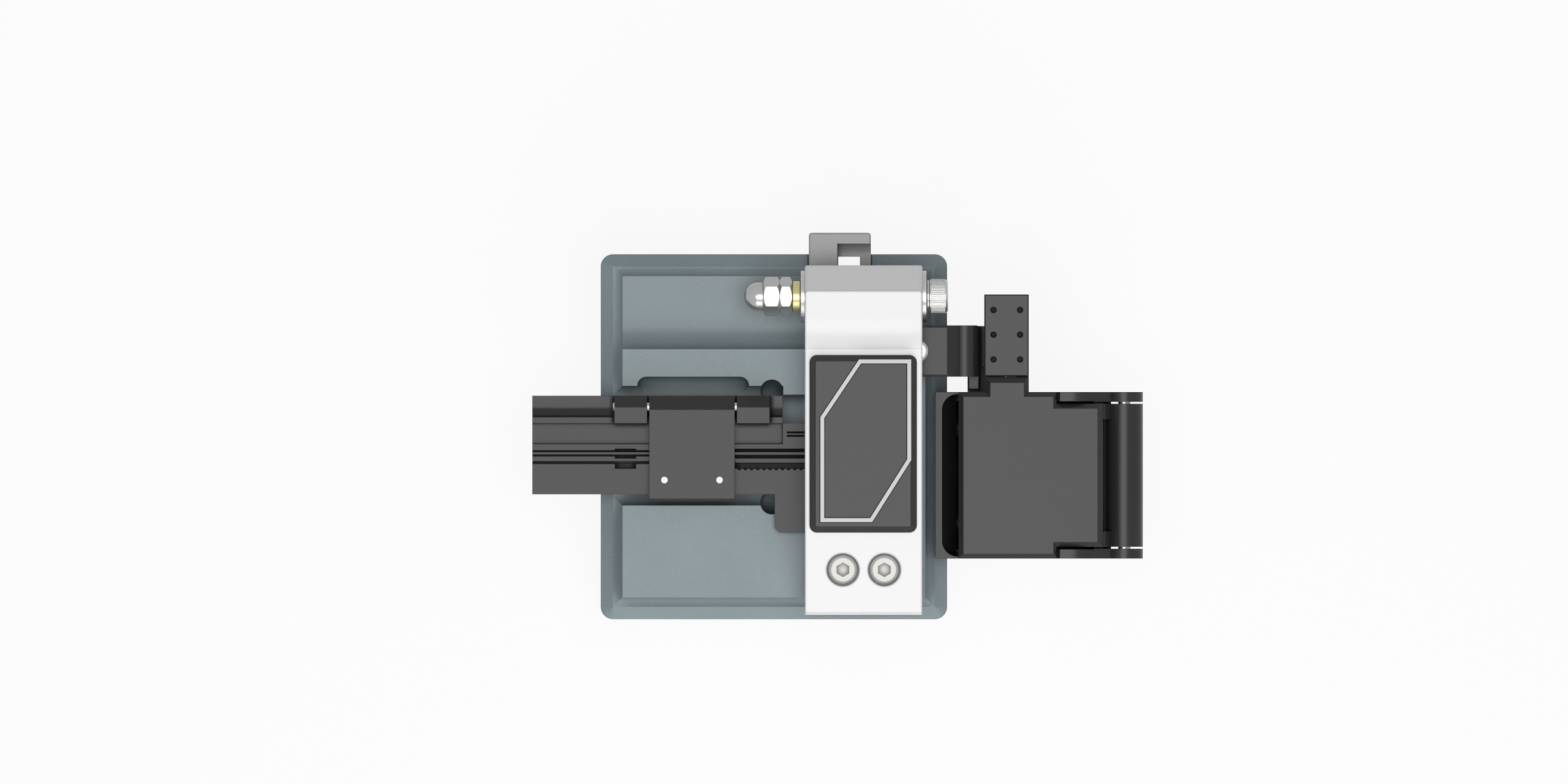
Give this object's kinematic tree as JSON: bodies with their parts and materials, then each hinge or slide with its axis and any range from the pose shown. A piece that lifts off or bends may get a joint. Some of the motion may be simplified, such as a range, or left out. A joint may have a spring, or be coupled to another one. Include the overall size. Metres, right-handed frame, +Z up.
{
  "type": "optical fibre cleaver",
  "caption": "Bench-top fibre cleaver: hinged pressing arm over a blade slider, grooved fibre plate with a small lid, and a roller-fed scrap box on the right.",
  "frame": {"origin": "centre of the underside of the rubber mat, on the surface the cleaver stands on", "axes": "+X to the right, along the fibre towards the scrap box; +Y to the rear, towards the arm's hinge; +Z up"},
  "size_m": [0.0988, 0.0625, 0.0419],
  "materials": {
    "casting_paint": "satin blue-grey",
    "arm_paint": "satin white",
    "black_moulding": "matt black",
    "black_anodised": "fine matt black",
    "grey_anodised": "fine matt grey",
    "pale_line": "gloss pale grey",
    "steel": "satin",
    "bright_steel": "bright",
    "brass": "turned",
    "rubber_black": "matt",
    "carbide": "ground",
    "dark_pad": "matt dark grey",
    "clamp_rubber": "matt"
  },
  "bodies": {
    "base": {"base_casting": "casting_paint", "base_mat": "rubber_black", "fibre_plate_screws": "steel", "hinge_post_screw": "steel", "linear_rail": "steel", "rail_screws": "steel", "fibre_plate": "black_anodised", "right_lower_clamp": "black_anodised", "clamp_block_screws": "steel", "lower_clamp_pads": "clamp_rubber", "fibre_lid_pin": "bright_steel", "hinge_post": "black_anodised", "hinge_axle": "steel", "axle_washer": "steel", "brass_bush": "brass", "lock_nut": "bright_steel", "acorn_nut": "bright_steel", "catch_magnet": "bright_steel", "scrap_box": "black_moulding", "scrap_box_screws": "steel", "scrap_lid_pin": "steel", "shaft_bushes": "brass", "drive_housing": "black_moulding"},
    "slider": {"slider_carriage": "steel", "slider_body": "grey_anodised", "slider_screws": "steel", "blade_axle": "steel"},
    "blade": {"blade_wheel": "carbide", "blade_hub": "steel"},
    "arm": {"arm_shell": "arm_paint", "arm_screws": "steel", "strike_plate": "steel", "arm_cover": "dark_pad", "cover_ring": "pale_line", "hinge_bearings": "steel", "press_lever": "black_anodised", "press_lever_screw": "bright_steel", "clamp_carrier": "black_anodised", "clamp_springs": "bright_steel", "anvil_spring": "bright_steel"},
    "upper_clamp": {"upper_clamp": "black_anodised", "upper_clamp_pads": "clamp_rubber"},
    "anvil": {"anvil": "steel"},
    "fibre_lid": {"fibre_lid": "black_anodised", "fibre_lid_pad": "rubber_black", "fibre_lid_magnets": "bright_steel"},
    "scrap_lid": {"scrap_lid": "black_moulding", "idler_axle": "steel"},
    "idler": {"idler_roller": "rubber_black"},
    "drive": {"drive_shaft": "steel", "drive_roller": "rubber_black"},
    "crank": {"crank_lever": "black_anodised"}
  },
  "joints": [
    {"name": "arm_hinge", "type": "hinge", "parent": "base", "child": "arm", "pos_m": [0.0145, 0.02267, 0.032], "axis": [-1, 0, 0], "range_deg": [0, 65]},
    {"name": "slider_travel", "type": "slide", "parent": "base", "child": "slider", "axis": [0, -1, 0], "range_m": [0, 0.02]},
    {"name": "blade_spin", "type": "hinge", "parent": "slider", "child": "blade", "pos_m": [0.01215, 0.011, 0.021], "axis": [1, 0, 0], "continuous": true},
    {"name": "fibre_lid_hinge", "type": "hinge", "parent": "base", "child": "fibre_lid", "pos_m": [-0.01325, 0.00485, 0.029], "axis": [-1, 0, 0], "range_deg": [0, 95]},
    {"name": "upper_clamp_press", "type": "slide", "parent": "arm", "child": "upper_clamp", "axis": [0, 0, 1], "range_m": [0, 0.001], "stiffness_N_per_m": 500, "springref_m": -0.004, "deforming": ["clamp_springs"]},
    {"name": "anvil_press", "type": "slide", "parent": "arm", "child": "anvil", "axis": [0, 0, 1], "range_m": [0, 0.0008], "stiffness_N_per_m": 400, "springref_m": -0.003, "deforming": ["anvil_spring"]},
    {"name": "scrap_lid_hinge", "type": "hinge", "parent": "base", "child": "scrap_lid", "pos_m": [0.05665, -0.00623, 0.0276], "axis": [0, 1, 0], "range_deg": [0, 100]},
    {"name": "drive_spin", "type": "hinge", "parent": "base", "child": "drive", "pos_m": [0.0376, 0, 0.02605], "axis": [0, 1, 0], "continuous": true},
    {"name": "idler_spin", "type": "hinge", "parent": "scrap_lid", "child": "idler", "pos_m": [0.0376, -0.00575, 0.03115], "axis": [0, 1, 0], "continuous": true},
    {"name": "crank_swing", "type": "hinge", "parent": "base", "child": "crank", "pos_m": [0.0376, 0.0146, 0.02605], "axis": [0, 1, 0], "range_deg": [0, 8], "stiffness_Nm_per_rad": 0.00002, "springref_deg": 96.26}
  ],
  "couplings": [
    {"joint": "idler_spin", "follows": "drive_spin", "ratio": -1.381},
    {"joint": "crank_swing", "follows": "arm_hinge", "ratio": 0.12}
  ]
}
